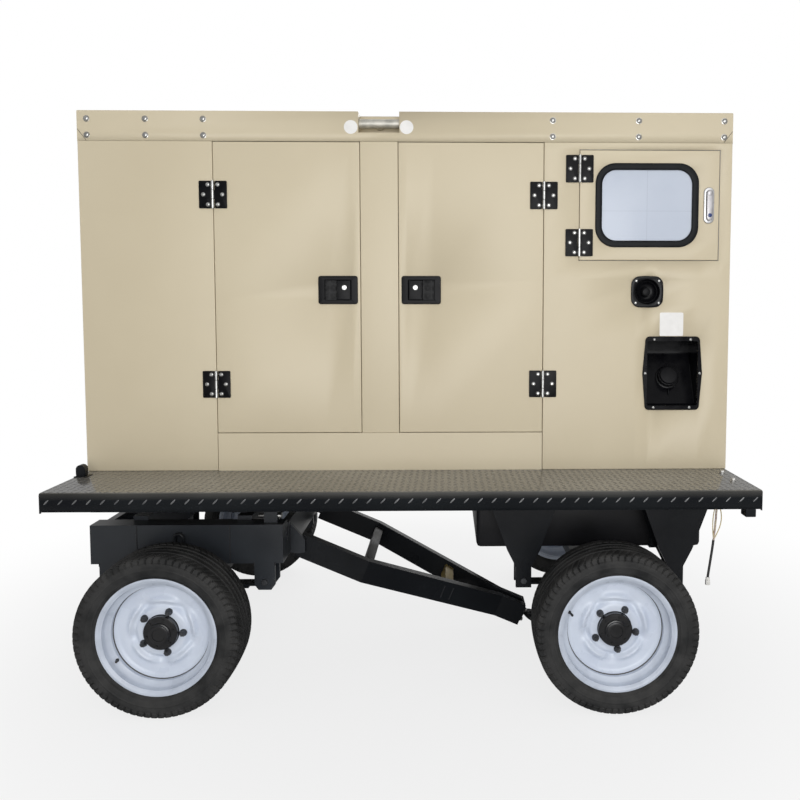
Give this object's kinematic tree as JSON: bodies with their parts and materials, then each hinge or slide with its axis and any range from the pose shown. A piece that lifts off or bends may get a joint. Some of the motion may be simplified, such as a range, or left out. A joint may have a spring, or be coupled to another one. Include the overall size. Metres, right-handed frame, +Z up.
{
  "type": "towable diesel generator",
  "caption": "Canopied diesel generating set with hinged service doors on a flat-deck turntable trailer with leaf-sprung axles and an A-frame drawbar.",
  "frame": {"origin": "on the ground under the middle of the deck", "axes": "+X along the trailer away from the turntable bogie, -Y towards the control side, +Z up"},
  "size_m": [2.6, 1.735, 2.283],
  "materials": {
    "black_paint": "satin black enamel",
    "sand_paint": "satin sand powder coat with a fine orange peel",
    "white_paint": "gloss white wheel enamel",
    "tyre_rubber": "worn black rubber",
    "black_plastic": "moulded black plastic",
    "grey_steel": "zinc plated steel",
    "cast_iron": "as cast, painted grey",
    "engine_paint": "gloss machine enamel",
    "window_film": "clear pane under pale protective film",
    "white_plastic": "moulded white plastic",
    "cable": "soft PVC insulation"
  },
  "bodies": {
    "trailer": {"deck": "black_paint", "chassis_frame": "black_paint", "turntable_ring": "grey_steel", "rear_axle": "black_paint", "rear_spring_near": "black_paint", "rear_spring_far": "black_paint", "under_deck_tank": "black_plastic", "lamp_lead": "cable", "lamp_connector": "white_plastic", "base_skid": "sand_paint", "left_end_wall": "sand_paint", "right_end_wall": "sand_paint", "roof": "sand_paint", "lifting_bar": "grey_steel", "near_left_panel": "sand_paint", "near_post": "sand_paint", "near_right_panel": "sand_paint", "far_left_panel": "sand_paint", "far_post": "sand_paint", "far_right_panel": "sand_paint", "fuel_filler_box": "black_plastic", "engine": "engine_paint", "radiator": "black_paint", "alternator": "engine_paint", "muffler": "cast_iron", "battery": "black_plastic", "control_panel": "white_paint"},
    "bogie": {"bogie_frame": "black_paint", "front_axle": "black_paint", "front_spring_near": "black_paint", "front_spring_far": "black_paint"},
    "stay_pin": {"drawbar_stay_pin": "grey_steel"},
    "drawbar": {"drawbar_frame": "black_paint", "towing_eye": "black_paint"},
    "wheel_front_near": {"tyre_front_near": "tyre_rubber", "rim_front_near": "white_paint", "hub_front_near": "black_paint"},
    "wheel_front_far": {"tyre_front_far": "tyre_rubber", "rim_front_far": "white_paint", "hub_front_far": "black_paint"},
    "wheel_rear_near": {"tyre_rear_near": "tyre_rubber", "rim_rear_near": "white_paint", "hub_rear_near": "black_paint"},
    "wheel_rear_far": {"tyre_rear_far": "tyre_rubber", "rim_rear_far": "white_paint", "hub_rear_far": "black_paint"},
    "near_left_door": {"near_left_door": "sand_paint"},
    "near_left_paddle": {"near_left_paddle": "black_plastic"},
    "near_right_door": {"near_right_door": "sand_paint"},
    "near_right_paddle": {"near_right_paddle": "black_plastic"},
    "far_left_door": {"far_left_door": "sand_paint"},
    "far_left_paddle": {"far_left_paddle": "black_plastic"},
    "far_right_door": {"far_right_door": "sand_paint"},
    "far_right_paddle": {"far_right_paddle": "black_plastic"},
    "control_door": {"control_door": "sand_paint", "control_window": "window_film"},
    "control_handle": {"control_door_handle": "grey_steel"},
    "stop_button": {"emergency_stop_button": "black_plastic"},
    "fuel_cap": {"fuel_cap": "black_plastic"},
    "fan": {"cooling_fan": "black_plastic"}
  },
  "joints": [
    {"name": "turntable_steer", "type": "hinge", "parent": "trailer", "child": "bogie", "pos_m": [-0.905, 0, 0.65], "axis": [0, 0, 1], "continuous": true},
    {"name": "drawbar_pitch", "type": "hinge", "parent": "bogie", "child": "drawbar", "pos_m": [-0.485, 0, 0.485], "axis": [0, -1, 0], "range_deg": [-3, 18]},
    {"name": "stay_pin_slide", "type": "slide", "parent": "bogie", "child": "stay_pin", "axis": [1, 0, 0], "range_m": [0, 0.04]},
    {"name": "wheel_front_near_spin", "type": "hinge", "parent": "bogie", "child": "wheel_front_near", "pos_m": [-0.905, -0.76, 0.3056], "axis": [0, 1, 0], "continuous": true},
    {"name": "wheel_front_far_spin", "type": "hinge", "parent": "bogie", "child": "wheel_front_far", "pos_m": [-0.905, 0.76, 0.3056], "axis": [0, 1, 0], "continuous": true},
    {"name": "wheel_rear_near_spin", "type": "hinge", "parent": "trailer", "child": "wheel_rear_near", "pos_m": [0.784, -0.76, 0.3056], "axis": [0, 1, 0], "continuous": true},
    {"name": "wheel_rear_far_spin", "type": "hinge", "parent": "trailer", "child": "wheel_rear_far", "pos_m": [0.784, 0.76, 0.3056], "axis": [0, 1, 0], "continuous": true},
    {"name": "near_left_door_swing", "type": "hinge", "parent": "trailer", "child": "near_left_door", "pos_m": [-0.772, -0.499, 1.58], "axis": [0, 0, 1], "range_deg": [-110, 0]},
    {"name": "near_left_paddle_pull", "type": "hinge", "parent": "near_left_door", "child": "near_left_paddle", "pos_m": [-0.234, -0.4895, 1.578], "axis": [0, 0, 1], "range_deg": [0, 40], "stiffness_Nm_per_rad": 0.05},
    {"name": "near_right_door_swing", "type": "hinge", "parent": "trailer", "child": "near_right_door", "pos_m": [0.544, -0.499, 1.58], "axis": [0, 0, 1], "range_deg": [0, 110]},
    {"name": "near_right_paddle_pull", "type": "hinge", "parent": "near_right_door", "child": "near_right_paddle", "pos_m": [0.006, -0.4895, 1.578], "axis": [0, 0, 1], "range_deg": [-40, 0], "stiffness_Nm_per_rad": 0.05},
    {"name": "far_left_door_swing", "type": "hinge", "parent": "trailer", "child": "far_left_door", "pos_m": [-0.772, 0.499, 1.58], "axis": [0, 0, 1], "range_deg": [0, 110]},
    {"name": "far_left_paddle_pull", "type": "hinge", "parent": "far_left_door", "child": "far_left_paddle", "pos_m": [-0.234, 0.4895, 1.578], "axis": [0, 0, 1], "range_deg": [-40, 0], "stiffness_Nm_per_rad": 0.05},
    {"name": "far_right_door_swing", "type": "hinge", "parent": "trailer", "child": "far_right_door", "pos_m": [0.544, 0.499, 1.58], "axis": [0, 0, 1], "range_deg": [-110, 0]},
    {"name": "far_right_paddle_pull", "type": "hinge", "parent": "far_right_door", "child": "far_right_paddle", "pos_m": [0.006, 0.4895, 1.578], "axis": [0, 0, 1], "range_deg": [0, 40], "stiffness_Nm_per_rad": 0.05},
    {"name": "control_door_swing", "type": "hinge", "parent": "trailer", "child": "control_door", "pos_m": [0.687, -0.499, 1.9168], "axis": [0, 0, 1], "range_deg": [-110, 0]},
    {"name": "control_handle_turn", "type": "hinge", "parent": "control_door", "child": "control_handle", "pos_m": [1.208, -0.5105, 1.965], "axis": [0, 1, 0], "range_deg": [0, 90]},
    {"name": "stop_button_press", "type": "slide", "parent": "trailer", "child": "stop_button", "axis": [0, 1, 0], "range_m": [0, 0.006], "stiffness_N_per_m": 400},
    {"name": "fuel_cap_twist", "type": "hinge", "parent": "trailer", "child": "fuel_cap", "pos_m": [1.072, -0.42148, 1.21939], "axis": [0, -0.9171, 0.3987], "range_deg": [0, 90]},
    {"name": "fan_spin", "type": "hinge", "parent": "trailer", "child": "fan", "pos_m": [-0.6025, 0, 1.36], "axis": [1, 0, 0], "continuous": true}
  ]
}
